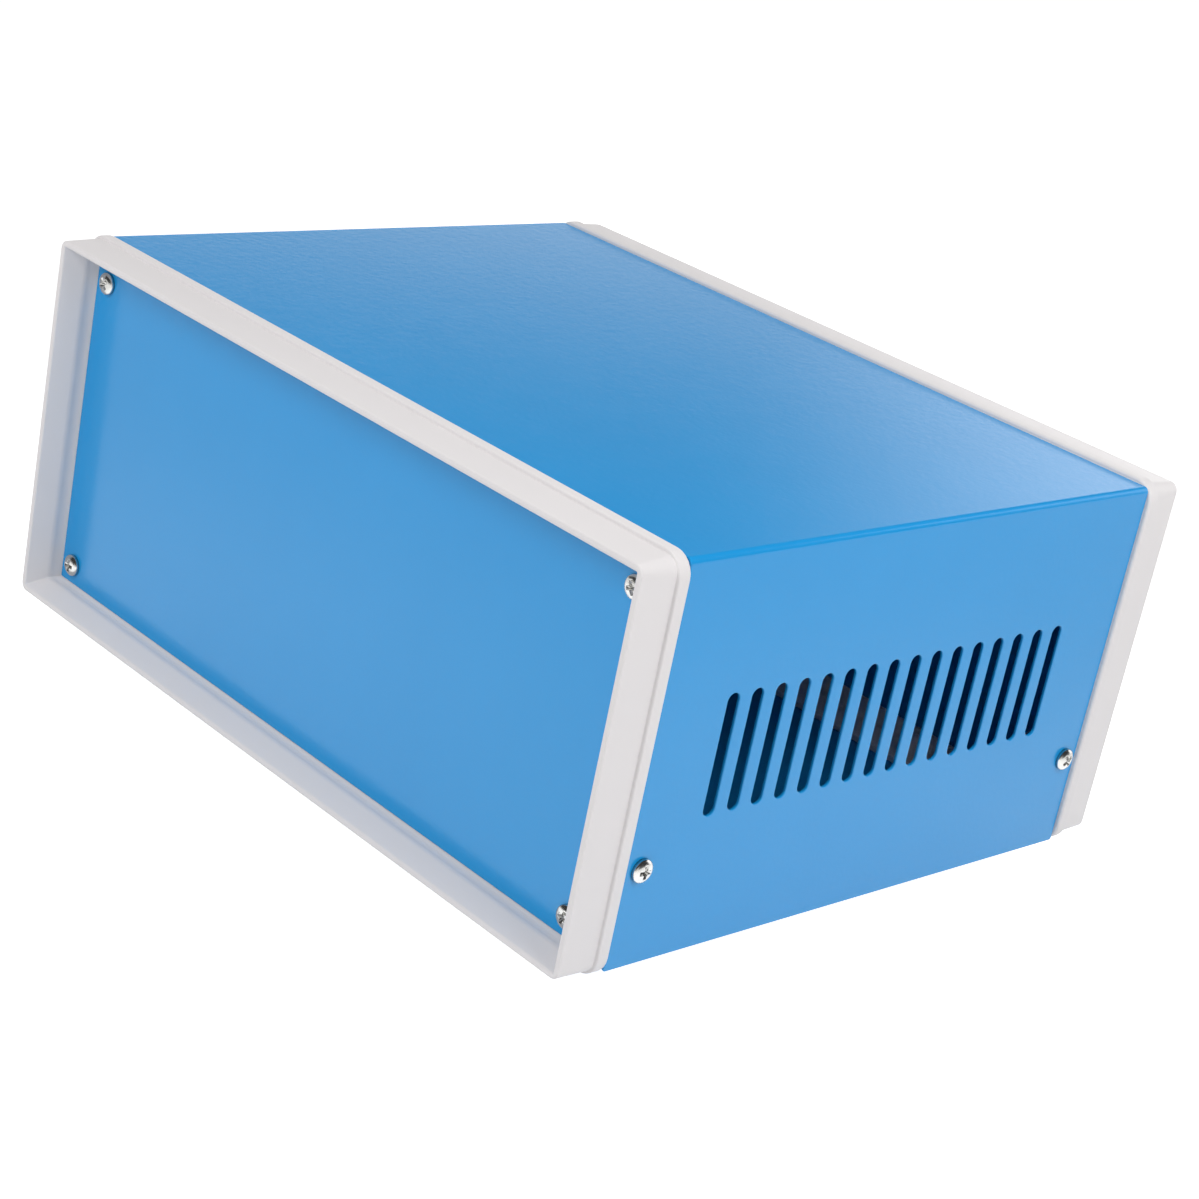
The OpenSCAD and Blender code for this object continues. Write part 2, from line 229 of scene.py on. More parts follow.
glow = ramp(tree, sideways, *right_glow_reach, 0.0, right_glow)
bright = sums(
    tree, "ADD",
    ramp(tree, height, *horizon_reach, horizon_white, 0.0),
    sums(tree, "MULTIPLY", glow, ramp(tree, height, *glow_height, 1.0, 0.0)),
)
offset = sums(tree, "MAXIMUM", sideways, sums(tree, "MULTIPLY", sideways, -1.0))
behind = sums(
    tree, "MULTIPLY",
    ramp(tree, offset, *sweep_half_width, 1.0, 0.0),
    ramp(tree, ahead, *front_fade, front_share, 1.0),
)
line = sums(
    tree, "MULTIPLY",
    ramp(tree, sideways, *bend_glow_right, 0.0, bend_glow),
    ramp(tree, ahead, *bend_glow_ahead, 0.0, 1.0),
    ramp(tree, height, *bend_glow_height, 1.0, 0.0),
)
sweep = sums(tree, "ADD", sums(tree, "MULTIPLY", bright, behind), line, sweep_dim)
level = add_node(tree, "ShaderNodeMix", data_type="FLOAT")
level.inputs["A"].default_value = ambient_level
tree.links.new(seen_ray(tree), level.inputs["Factor"])
tree.links.new(sweep, level.inputs["B"])
camera_ray = add_node(tree, "ShaderNodeLightPath").outputs["Is Camera Ray"]
strength = sums(tree, "MAXIMUM", level.outputs[0], camera_ray)
tree.links.new(strength, tree.nodes["Background"].inputs["Strength"])
tree.nodes["Background"].inputs["Color"].default_value = (1, 1, 1, 1)
print("world: matt faces get", ambient_level, "from all sides, gloss sees", horizon_white, "at the horizon")

# %% [markdown]
# ## Softboxes
#
# Three round softboxes light the case. One hangs in front of the panel, one to the right of the
# slotted side, and a weak one behind, so that the back isn't lost in the dark. They are close, so
# every face is a little brighter near its upper edge than near the floor. A sun would light it
# evenly and flatly. No lamp stands behind the camera, and that is why the left inside of the
# bezel and the walls of the slots, which face the camera, are the darker parts.

# %% Three softboxes
box_distance = 0.8
box_diameter = 0.5
case_middle = Vector((0, 0, body_middle))


def softbox(name, heading, elevation, strength):
    """Round lamp that faces the case; its heading counts from +X towards +Y."""
    lamp = bpy.data.objects.new(name, bpy.data.lights.new(name, "AREA"))
    lamp.data.shape = "DISK"
    lamp.data.size = box_diameter
    lamp.data.energy = strength * math.pi * box_distance ** 2
    lamp.visible_glossy = False
    lamp.visible_camera = False
    flat = Vector((math.cos(heading), math.sin(heading), 0))
    outward = flat * math.cos(elevation) + Vector((0, 0, math.sin(elevation)))
    lamp.location = case_middle + outward * box_distance
    lamp.rotation_mode = "QUATERNION"
    lamp.rotation_quaternion = (-outward).to_track_quat("-Z", "Y")
    bpy.context.scene.collection.objects.link(lamp)


# Each softbox: name, heading and elevation in degrees, strength
softboxes = [
    ("front_softbox", -95, 36, 1.10),
    ("side_softbox", 0, 40, 1.38),
    ("rear_softbox", 135, 25, 0.50),
]
for name, heading, elevation, strength in softboxes:
    softbox(name, math.radians(heading), math.radians(elevation), strength)
print(len(softboxes), "softboxes of", box_diameter, "m hang", box_distance, "m from the case")

# %% [markdown]
# ## Floor
#
# The floor is white card. What a camera or a mirror sees of it gets a little light of its own,
# most of it close to the case and a bit more far off, where the lamps don't reach. That lifts it
# to white without more light on the case. The bright ring close to the case is a painted pool of
# light, which the gloss of the panel and the slotted side mirrors as a painted sheen towards their
# lower edges. Well under the case it gets none, so the dark gap between the feet stays.

# %% Floor
floor_size = 40.0
floor_albedo = 0.75
near_lift = 0.97
middle_lift = 0.48
far_lift = 0.20
pool_radius = (0.16, 0.40)
far_radius = (0.36, 0.80)
gap_margin = (45 * MM, 22 * MM)

floor_mesh = bpy.data.meshes.new("floor")
bm = bmesh.new()
bmesh.ops.create_grid(bm, x_segments=1, y_segments=1, size=floor_size / 2)
bm.to_mesh(floor_mesh)
bm.free()
floor = bpy.data.objects.new("floor", floor_mesh)
bpy.context.scene.collection.objects.link(floor)
card = bpy.data.materials.new("white_card")
card.use_nodes = True
tree = card.node_tree
tree.nodes.clear()
matte = add_node(tree, "ShaderNodeBsdfDiffuse", color=(floor_albedo,) * 3 + (1,))
spot = add_node(tree, "ShaderNodeTexCoord").outputs["Object"]
distance = add_node(tree, "ShaderNodeVectorMath", operation="LENGTH")
tree.links.new(spot, distance.inputs[0])
away = distance.outputs["Value"]
# Painted pool of light: the floor glows most close to the case, and gloss mirrors it as a sheen.
painted_pool = sums(
    tree, "ADD",
    ramp(tree, away, *pool_radius, near_lift, middle_lift),
    ramp(tree, away, *far_radius, 0.0, far_lift),
)
spot_axes = add_node(tree, "ShaderNodeSeparateXYZ")
tree.links.new(spot, spot_axes.inputs[0])
clear = []
for axis, half in (("X", cad_high.x), ("Y", cad_high.y)):
    off_centre = add_node(tree, "ShaderNodeMath", operation="ABSOLUTE")
    tree.links.new(spot_axes.outputs[axis], off_centre.inputs[0])
    inner, outer = (half - margin for margin in gap_margin)
    clear.append(ramp(tree, off_centre.outputs[0], inner, outer, 0.0, 1.0))
shine = sums(tree, "MULTIPLY", seen_ray(tree), painted_pool, sums(tree, "MAXIMUM", *clear))
lift = add_node(tree, "ShaderNodeEmission")
tree.links.new(shine, lift.inputs["Strength"])
both = add_node(tree, "ShaderNodeAddShader")
tree.links.new(matte.outputs[0], both.inputs[0])
tree.links.new(lift.outputs[0], both.inputs[1])
surface = add_node(tree, "ShaderNodeOutputMaterial")
tree.links.new(both.outputs[0], surface.inputs["Surface"])
floor_mesh.materials.append(card)
print("floor", floor_size, "m across, lifted by", near_lift, "near the case")

# %% [markdown]
# ## Finishes
#
# Each finish is a small node tree on the object's own coordinates, so it stays put on the piece
# whatever the camera does. All four are built alike. A slow noise shifts the colour a little,
# because no real surface is quite even. A second one shifts the roughness, and a fine one is the
# relief, which is what makes a finish real. So one function makes them all, and each finish only
# names its sizes and values.

# %% Shared parts of a finish
def noise_at(tree, coordinates, size, detail=2.0):
    """Noise whose blobs are about size metres across."""
    noise = add_node(tree, "ShaderNodeTexNoise", scale=1.0 / size, detail=detail)
    tree.links.new(coordinates, noise.inputs["Vector"])
    return noise.outputs["Fac"]


def drift_colour(tree, shader, mask, first, second):
    """Base colour that wanders between two near tones."""
    mix = add_node(tree, "ShaderNodeMix", data_type="RGBA")
    mix.inputs["A"].default_value = (*first, 1)
    mix.inputs["B"].default_value = (*second, 1)
    tree.links.new(mask, mix.inputs["Factor"])
    tree.links.new(mix.outputs["Result"], shader.inputs["Base Color"])


def drift_roughness(tree, shader, mask, low, high):
    """Roughness that wanders between two values."""
    spread = add_node(tree, "ShaderNodeMapRange")
    spread.inputs["To Min"].default_value = low
    spread.inputs["To Max"].default_value = high
    tree.links.new(mask, spread.inputs["Value"])
    tree.links.new(spread.outputs[0], shader.inputs["Roughness"])


def add_bump(tree, shader, relief, depth, strength):
    """Relief of the given depth in metres on the shader's normal."""
    bump = add_node(tree, "ShaderNodeBump", distance=depth, strength=strength)
    tree.links.new(relief, bump.inputs["Height"])
    tree.links.new(bump.outputs[0], shader.inputs["Normal"])


def make_finish(name, tones, cloud, roughness, patch, grain, depth, strength, detail=2.0, **values):
    """Material whose colour and roughness drift, with a relief on top; sizes are in metres."""
    material = bpy.data.materials.new(name)
    material.use_nodes = True
    tree = material.node_tree
    shader = tree.nodes["Principled BSDF"]
    where = add_node(tree, "ShaderNodeTexCoord").outputs["Object"]
    drift_colour(tree, shader, noise_at(tree, where, cloud), *tones)
    drift_roughness(tree, shader, noise_at(tree, where, patch), *roughness)
    add_bump(tree, shader, noise_at(tree, where, grain, detail), depth, strength)
    for key, value in values.items():
        shader.inputs[key].default_value = value
    print("finish", name, "has a relief of", round(depth / MM, 3), "mm")
    return material


# %% [markdown]
# ### Blue powder coat
#
# Powder is sprayed on dry and melts in an oven. It flows into a satin skin with a soft
# orange-peel relief one or two millimetres wide, which only shows where gloss crosses it. A clear
# coat over a base would be a car's paint. Here one layer with a low roughness is enough.

# %% Blue powder coat
blue_paint = make_finish(
    "blue_powder_coat",
    tones=((0.0105, 0.298, 0.685), (0.0130, 0.314, 0.715)), cloud=30 * MM,
    roughness=(0.16, 0.20), patch=6 * MM,
    grain=1.8 * MM, depth=0.042 * MM, strength=0.8, detail=1.0, IOR=1.45,
)

# %% [markdown]
# ### Off-white plastic
#
# The mould's own surface leaves a very fine grain on the bezels, much finer than the paint's. The
# plastic is nearly white, with a trace of red in it, and rougher than the paint.

# %% Off-white moulded plastic
bezel_plastic = make_finish(
    "off_white_plastic",
    tones=((0.758, 0.732, 0.736), (0.778, 0.752, 0.754)), cloud=22 * MM,
    roughness=(0.36, 0.46), patch=4 * MM,
    grain=0.35 * MM, depth=0.006 * MM, strength=0.5, IOR=1.4,
)

# %% [markdown]
# ### Zinc and rubber
#
# The screws, washers and nuts are bright zinc, which shows tiny marks of the barrel that it was
# plated in. It is a bare metal, so its colour is the colour of what it mirrors. The feet are
# plain black rubber, matt and a little uneven.

# %% Bright zinc on the screws
bright_zinc = make_finish(
    "bright_zinc_plate",
    tones=((0.57, 0.56, 0.53), (0.66, 0.66, 0.64)), cloud=1.6 * MM,
    roughness=(0.16, 0.30), patch=0.7 * MM,
    grain=0.3 * MM, depth=0.004 * MM, strength=0.4, Metallic=1.0,
)

# %% Black rubber on the feet
foot_rubber = make_finish(
    "black_foot_rubber",
    tones=((0.016, 0.016, 0.017), (0.024, 0.024, 0.025)), cloud=5 * MM,
    roughness=(0.62, 0.78), patch=2 * MM,
    grain=0.4 * MM, depth=0.02 * MM, strength=0.5,
)

# %% [markdown]
# ## From bmesh to piece
#
# Every piece below is made in a bmesh, Blender's editable mesh. The helpers here do the last
# steps that all of them share. Sharp edges get a narrow round, because no real edge is perfectly
# sharp and a round edge catches a line of light. The mesh is shaded smooth and a Weighted Normal
# modifier lets the big flat faces win, so that they stay flat right up to their rounded edges.
# The piece then rides on the frame's body and stands for its node.

# %% Helpers that finish a piece
sharp_angle = math.radians(40)


def sharp_edges(bm, angle=sharp_angle):
    """Edges where two faces meet at more than the angle."""
    return [e for e in bm.edges if len(e.link_faces) == 2 and e.calc_face_angle() > angle]


def soften(bm, edges, radius, steps=2):
    """Round edges with the given radius."""
    bmesh.ops.bevel(
        bm, geom=edges, offset=radius, offset_type="OFFSET", segments=steps, profile=0.5,
        affect="EDGES", material=-1, loop_slide=False, clamp_overlap=True,
    )


def make_piece(name, bm, finish, slot, *nodes):
    """Turn a bmesh into a piece that stands for its CAD nodes."""
    open_edges = sum(1 for e in bm.edges if len(e.link_faces) != 2)
    mesh = bpy.data.meshes.new(name)
    bm.to_mesh(mesh)
    bm.free()
    mesh.shade_smooth()
    mesh.materials.append(finish)
    piece = bpy.data.objects.new(name, mesh)
    bpy.context.scene.collection.objects.link(piece)
    weighted = piece.modifiers.new("weighted_normal", "WEIGHTED_NORMAL")
    weighted.mode = "FACE_AREA"
    weighted.weight = 100
    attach(piece, "root")
    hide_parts(*nodes)
    print(f"{name}: {len(mesh.polygons)} faces, {open_edges} open edges, for {', '.join(nodes)}")


# %% [markdown]
# ## Punched and folded sheet
#
# A sheet-metal shop starts with a flat blank, punches every hole while it is flat and folds it
# last. The mesh can be made the same way. Loops of edges draw the blank's outline and its holes,
# and `triangle_fill` fills the sheet between them. Cuts along the bend lines split it into narrow
# strips, and `rotate` turns everything beyond each cut by a few degrees, until the flap stands
# square on a true bend. `solidify` then gives the sheet its thickness. A Boolean cut on a folded
# box would work too, but it leaves the bend as a separate problem.

# %% Punch a flat blank
hole_sides = 24


def punch(bm, x, y, span_x, span_y):
    """Draw a round hole, or a slot with round ends, as a loop of edges."""
    across = min(span_x, span_y)
    half_step = math.pi / hole_sides
    loop = bmesh.ops.create_circle(
        bm, cap_ends=False, segments=hole_sides, radius=across / 2 / math.cos(half_step),
        matrix=Matrix.Rotation(half_step, 4, "Z"),
    )["verts"]
    for axis, span in enumerate((span_x, span_y)):
        for side in (-1, 1):
            half = [v for v in loop if v.co[axis] * side > 0]
            step = Vector((0, 0, 0))
            step[axis] = side * (span - across) / 2
            bmesh.ops.translate(bm, vec=step, verts=half)
    bmesh.ops.translate(bm, vec=(x, y, 0), verts=loop)


def punched_blank(width, length, corner_cut, holes):
    """Flat sheet in the XY plane, facing up, with its corners cut and its holes punched."""
    bm = bmesh.new()
    corners = bmesh.ops.create_grid(
        bm, x_segments=1, y_segments=1, size=0.5, matrix=Matrix.Diagonal((width, length, 1, 1)),
    )["verts"]
    bmesh.ops.bevel(
        bm, geom=corners, offset=corner_cut, segments=1, profile=0.5, affect="VERTICES",
        material=-1,
    )
    bmesh.ops.delete(bm, geom=bm.faces[:], context="FACES_ONLY")
    for hole in holes:
        punch(bm, *hole)
    bmesh.ops.triangle_fill(bm, edges=bm.edges[:], use_beauty=True, normal=(0, 0, 1))
    return bm


def thicken(bm, thickness):
    """Give a sheet its thickness, on the side away from its normals."""
    bmesh.ops.solidify(bm, geom=bm.faces[:], thickness=thickness)
    bmesh.ops.recalc_face_normals(bm, faces=bm.faces[:])


# %% Fold the flaps
merge_distance = 0.001 * MM
bend_radius = 1.7 * MM
bend_strips = 8
bend_angle = math.pi / 2 / bend_strips
bend_chord = 2 * bend_radius * math.sin(bend_angle / 2)


def blank_width(web, flap):
    """Flat width of a channel that measures web across and flap down its sides."""
    return web - 2 * bend_radius + 2 * bend_strips * bend_chord + 2 * (flap - bend_radius)


def fold_flaps(bm, web):
    """Turn both flaps down, strip by strip, from the outermost cut to the innermost."""
    cuts = [web / 2 - bend_radius + k * bend_chord for k in range(bend_strips + 1)]
    for side in (-1, 1):
        for cut in cuts:
            bmesh.ops.bisect_plane(
                bm, geom=bm.verts[:] + bm.edges[:] + bm.faces[:], dist=merge_distance,
                plane_co=(side * cut, 0, 0), plane_no=(1, 0, 0),
            )
    hair = 0.01 * MM
    for side in (-1, 1):
        beyond = [[v for v in bm.verts if v.co.x * side > cut + hair] for cut in cuts]
        for k in reversed(range(len(cuts))):
            turn = bend_angle if 0 < k < bend_strips else bend_angle / 2
            bmesh.ops.rotate(
                bm, cent=(side * cuts[k], 0, 0), verts=beyond[k],
                matrix=Matrix.Rotation(side * turn, 3, "Y"),
            )


# %% [markdown]
# ## Top cover
#
# The cover is one sheet: the top and both sides, with sixteen slots in each side for air and
# two screw holes near each lower corner. Its lower corners are nipped off. Powder builds up
# round a punched edge and leaves it soft, so the edges get a round of a third of a millimetre.
# That is what draws a pale rim along one side of every slot.

# %% Make the cover
paint_edge = 0.3 * MM
paint_edge_steps = 3
screw_hole = 3.4 * MM
edge_screw_inset = 5.7 * MM
cover_screw_height = 27.5 * MM
cover_corner_cut = 0.5 * MM
vent_count = 16
vent_pitch = 8.55 * MM
vent_width = 4.1 * MM
vent_length = 33.5 * MM
vent_height = 55.0 * MM

cover_length = cover_high.y - cover_low.y
cover_blank = blank_width(body_width, body_height)
vent_rows = [(k - (vent_count - 1) / 2) * vent_pitch for k in range(vent_count)]
end_rows = [side * (body_depth / 2 - edge_screw_inset) for side in (-1, 1)]
cover_holes = []
for side in (-1, 1):
    vent_line = side * (cover_blank / 2 - vent_height)
    screw_line = side * (cover_blank / 2 - cover_screw_height)
    cover_holes += [(vent_line, y, vent_length, vent_width) for y in vent_rows]
    cover_holes += [(screw_line, y, screw_hole, screw_hole) for y in end_rows]

bm = punched_blank(cover_blank, cover_length, cover_corner_cut, cover_holes)
fold_flaps(bm, body_width)
thicken(bm, sheet_thickness)
soften(bm, sharp_edges(bm), paint_edge, paint_edge_steps)
bmesh.ops.translate(bm, vec=(0, 0, cover_high.z), verts=bm.verts[:])
make_piece("cover_sheet", bm, blue_paint, "blue_paint", "top_cover")

# %% [markdown]
# ## Base tray
#
# The tray is the same kind of folding the other way up. Its sides stand inside the cover's, so
# that one screw passes through both. Holes in its floor take the bezel screws and the feet.

# %% Make the tray
tray_corner_cut = 4.0 * MM
tray_screw_gap = 150.0 * MM
foot_inset = 28.0 * MM

tray_width = tray_high.x - tray_low.x
tray_height = tray_high.z - tray_low.z
tray_blank = blank_width(tray_width, tray_height)
foot_x = body_width / 2 - foot_inset
foot_y = body_depth / 2 - foot_inset
feet_places = [(x * foot_x, y * foot_y) for x in (-1, 1) for y in (-1, 1)]
tray_holes = [(x, y, screw_hole, screw_hole) for x, y in feet_places]
for side in (-1, 1):
    screw_line = side * (tray_blank / 2 - tray_height + cover_screw_height)
    tray_holes += [(screw_line, y, screw_hole, screw_hole) for y in end_rows]
    tray_holes += [(side * tray_screw_gap / 2, y, screw_hole, screw_hole) for y in end_rows]

bm = punched_blank(tray_blank, cover_length, tray_corner_cut, tray_holes)
fold_flaps(bm, tray_width)
thicken(bm, sheet_thickness)
soften(bm, sharp_edges(bm), paint_edge, paint_edge_steps)
bmesh.ops.rotate(bm, cent=(0, 0, 0), matrix=Matrix.Rotation(math.pi, 3, "Y"), verts=bm.verts[:])
bmesh.ops.translate(bm, vec=(0, 0, tray_low.z), verts=bm.verts[:])
make_piece("tray_sheet", bm, blue_paint, "blue_paint", "base_tray")

# %% [markdown]
# ## Ends
#
# The two bezels and panels are twins, so they are drawn once, flat on the table: X across, Y up
# from the body's middle and Z forward from the back of the flange. One matrix lays the drawing
# on the front of the case, and half a turn more puts it on the rear.

# %% Matrices for the two ends
front_end = Matrix.Translation((0, -body_depth / 2, body_middle)) @ Matrix.Rotation(math.pi / 2, 4, "X")
rear_end = Matrix.Rotation(math.pi, 4, "Z") @ front_end
ends = {"front": front_end, "rear": rear_end}
panel_face = -panel_low.y - body_depth / 2
panel_seat = -panel_high.y - body_depth / 2
print("panel lies", round(panel_seat / MM, 2), "to", round(panel_face / MM, 2), "mm ahead of the flange")

# %% [markdown]
# ## Panels
#
# A panel is a flat punched blank with four screw holes, so the sheet helpers make it with no
# fold at all.

# %% Make the panels
panel_screw_inset = 11.0 * MM
panel_corner_cut = 0.3 * MM
panel_screw_x = body_width / 2 - panel_screw_inset
panel_screw_y = body_height / 2 - panel_screw_inset
panel_screw_places = [(x * panel_screw_x, y * panel_screw_y) for x in (-1, 1) for y in (-1, 1)]

for end, place in ends.items():
    bm = punched_blank(
        panel_high.x - panel_low.x, panel_high.z - panel_low.z, panel_corner_cut,
        [(x, y, screw_hole, screw_hole) for x, y in panel_screw_places],
    )
    thicken(bm, panel_face - panel_seat)
    soften(bm, sharp_edges(bm), paint_edge, paint_edge_steps)
    bmesh.ops.translate(bm, vec=(0, 0, panel_face), verts=bm.verts[:])
    bm.transform(place)
    make_piece(f"{end}_panel_sheet", bm, blue_paint, "blue_paint", f"{end}_panel")

# %% [markdown]
# ## Bezels
#
# A bezel is a picture frame with a busy section: a rim that tucks into the sheet, a flange, a
# drafted hood, a thin lip, a flared inside and a seat for the panel. One way would be to sweep
# that section round a rectangle, but the corners change their radius from one level to the next.
# So each point of the section becomes a ring, a rectangle whose corners `bevel` rounds, and
# `bridge_loops` joins each ring to the next and the last to the first.

# %% Sizes of a bezel
flange_proud = bezel_high.x - body_width / 2
hood_front = -bezel_low.y - body_depth / 2
flange_thickness = 4.0 * MM
hood_step = 1.0 * MM
hood_draft = 0.75 * MM
lip_thickness = 1.7 * MM
flare_depth = 6.4 * MM
flare_width = 2.7 * MM
wall_draft = 0.1 * MM
rim_depth = 11.0 * MM
rim_wall = 2.0 * MM
rim_fit = 0.15 * MM
seat_width = 4.0 * MM
seat_thickness = 2.0 * MM

hood_inset = hood_step - flange_proud
lip_outside = hood_inset + hood_draft
lip_inside = lip_outside + lip_thickness
crease = lip_inside + flare_width
panel_wall = crease + wall_draft
seat_inside = panel_wall + seat_width
seat_back = panel_seat - seat_thickness
rim_side = 2 * sheet_thickness + 2 * rim_fit
rim_level = sheet_thickness + rim_fit
print("hood reaches", round(hood_front / MM, 2), "mm ahead of the flange's back")

# %% [markdown]
# The section reads as a table. It starts at the back of the rim, goes outwards over the flange and
# along the hood to the lip, and comes back inside over the flare, the wall and the seat. An inset
# counts inwards from the sheet's outside, so the flange, which stands proud, has a negative one.

# %% The section as a table
flange_radius = 6.0 * MM
hood_radius = 4.4 * MM
lip_radius = 2.5 * MM
mitre_radius = 0.35 * MM
rim_radius = 0.85 * MM

# Each ring: name, height, inset at the sides, inset at top and bottom, corner radius
bezel_section = [
    ("rim_back", -rim_depth, rim_side, rim_level, rim_radius),
    ("rim_root", 0, rim_side, rim_level, rim_radius),
    ("flange_back", 0, -flange_proud, -flange_proud, flange_radius),
    ("flange_front", flange_thickness, -flange_proud, -flange_proud, flange_radius),
    ("hood_root", flange_thickness, hood_inset, hood_inset, hood_radius),
    ("lip_outer", hood_front, lip_outside, lip_outside, lip_radius),
    ("lip_inner", hood_front, lip_inside, lip_inside, mitre_radius),
    ("crease", hood_front - flare_depth, crease, crease, mitre_radius),
    ("panel_edge", panel_seat, panel_wall, panel_wall, mitre_radius),
    ("seat_front", panel_seat, seat_inside, seat_inside, mitre_radius),
    ("seat_back", seat_back, seat_inside, seat_inside, mitre_radius),
    ("rim_corner", seat_back, rim_side + rim_wall, rim_level + rim_wall, rim_radius),
    ("rim_inner", -rim_depth, rim_side + rim_wall, rim_level + rim_wall, rim_radius),
]

# Each round: the ring that it softens, radius, steps
bezel_rounds = [
    ("flange_front", 0.5 * MM, 4),
    ("hood_root", 0.4 * MM, 3),
    ("flange_back", 0.9 * MM, 5),
    ("lip_outer", 0.5 * MM, 4),
    ("lip_inner", 0.5 * MM, 4),
    ("crease", 0.8 * MM, 4),
    ("seat_front", 0.2 * MM, 2),
    ("rim_back", 0.3 * MM, 2),
    ("rim_inner", 0.3 * MM, 2),
]
print("section of", len(bezel_section), "rings,", len(bezel_rounds), "of them softened")

# %% [markdown]
# Rings that lie in one plane can be joined the wrong way round. So all of them are first stacked
# like the rings of a tube, and each slides to its true height once they are joined. Then the
# edges that show are softened ring by ring.

# %% Bridge the rings
corner_steps = 6


def add_ring(bm, z, inset_x, inset_y, radius):
    """Add a rounded rectangle as a loop of edges and return the edges."""
    older = set(bm.edges)
    size = (body_width - 2 * inset_x, body_height - 2 * inset_y, 1)
    corners = bmesh.ops.create_grid(
        bm, x_segments=1, y_segments=1, size=0.5,
        matrix=Matrix.LocRotScale(Vector((0, 0, z)), None, Vector(size)),
    )["verts"]
    bmesh.ops.bevel(
        bm, geom=corners, offset=radius, segments=corner_steps, profile=0.5,
        affect="VERTICES", material=-1,
    )
    loop = [e for e in bm.edges if e not in older]
    bmesh.ops.delete(bm, geom=list({f for e in loop for f in e.link_faces}), context="FACES_ONLY")
    return loop


def bezel_frame():
    """Bridge the rings into one closed frame and soften the edges that show."""
    bm = bmesh.new()
    rings = {}
    for level, (name, z, *shape) in enumerate(bezel_section):
        rings[name] = add_ring(bm, level * MM, *shape)
    names = list(rings)
    for name, after in zip(names, names[1:] + names[:1]):
        bmesh.ops.bridge_loops(bm, edges=rings[name] + rings[after])
    for level, (name, z, *shape) in enumerate(bezel_section):
        corners = list({v for e in rings[name] for v in e.verts})
        bmesh.ops.translate(bm, vec=(0, 0, z - level * MM), verts=corners)
    bmesh.ops.recalc_face_normals(bm, faces=bm.faces[:])
    for name, radius, steps in bezel_rounds:
        soften(bm, rings[name], radius, steps)
    return bm


# %% [markdown]
# The bosses that take the screws, their ribs and the wider part of the rim are solid lumps that
# grow into the frame. They are rods and blocks, and these helpers make them. A last helper runs a
# Boolean through its modifier and takes the result back as a bmesh.

# %% Helpers for solid lumps
round_sides = 32


def add_rod(bm, place, diameter, start, end):
    """Add a closed cylinder along a matrix's Z axis, from start to end."""
    bmesh.ops.create_cone(
        bm, cap_ends=True, segments=round_sides, radius1=diameter / 2, radius2=diameter / 2,
        depth=end - start, matrix=place @ Matrix.Translation((0, 0, (start + end) / 2)),
    )


def add_block(bm, low, high):
    """Add a closed box between two corners."""
    low, high = Vector(low), Vector(high)
    bmesh.ops.create_cube(
        bm, size=1, matrix=Matrix.LocRotScale((low + high) / 2, None, high - low),
    )


def mesh_object(bm, name):
    """Object for a Boolean, from a bmesh that is used up."""
    mesh = bpy.data.meshes.new(name)
    bm.to_mesh(mesh)
    bm.free()
    made = bpy.data.objects.new(name, mesh)
    bpy.context.scene.collection.objects.link(made)
    return made


def combine(bm, tool, operation):
    """Exact Boolean of two bmeshes: returns a new bmesh and uses up both."""
    base, other = mesh_object(bm, "base"), mesh_object(tool, "tool")
    boolean = base.modifiers.new("boolean", "BOOLEAN")
    boolean.operation = operation
    boolean.solver = "EXACT"
    boolean.use_self = True
    boolean.object = other
    ready = base.evaluated_get(bpy.context.evaluated_depsgraph_get())
    result = bmesh.new()
    result.from_mesh(ready.to_mesh())
    ready.to_mesh_clear()
    for scrap in (base, other):
        bpy.data.meshes.remove(scrap.data)
    return result


# %% [markdown]
# A boss is given by a matrix that stands in its mouth, with Z pointing out of it. The panel's
# screws come in from the end, the cover's from the sides and the tray's from below. How deep each
# one goes follows from the screw's length, less what it passes through on its way.

# %% Places of the bosses
screw_tip_room = 1.0 * MM
panel_screw_length = 8.0 * MM
cover_screw_length = 10.0 * MM
tray_screw_length = 8.0 * MM

screw_length_in = {
    "panel": panel_screw_length - (panel_face - panel_seat) + screw_tip_room,
    "side": cover_screw_length - rim_side + screw_tip_room,
    "bottom": tray_screw_length - rim_level + screw_tip_room,
}
boss_places = []
for x, y in panel_screw_places:
    boss_places.append(("panel", Matrix.Translation((x, y, panel_seat))))
for side in (-1, 1):
    side_mouth = Matrix.Translation((
        side * (body_width / 2 - rim_side), cover_screw_height - body_height / 2, -edge_screw_inset,
    ))
    boss_places.append(("side", side_mouth @ Matrix.Rotation(side * math.pi / 2, 4, "Y")))
    low_mouth = Matrix.Translation((
        side * tray_screw_gap / 2, rim_level - body_height / 2, -edge_screw_inset,
    ))
    boss_places.append(("bottom", low_mouth @ Matrix.Rotation(math.pi / 2, 4, "X")))
print(len(boss_places), "bosses, drilled", {k: round(v / MM, 2) for k, v in screw_length_in.items()}, "mm")

# %% [markdown]
# An exact Boolean joins the lumps to the frame, as the mould does with one shot of plastic, and a
# second one drills the screw holes. Bridging the bosses into the frame face by face would give a
# neater mesh, but it is slow work for shapes that hide behind the panel.

# %% Make the bezels
tap_diameter = 3.1 * MM
boss_diameter = 7.1 * MM
boss_floor = 1.5 * MM
rib_thickness = 1.6 * MM
sink = 0.5 * MM


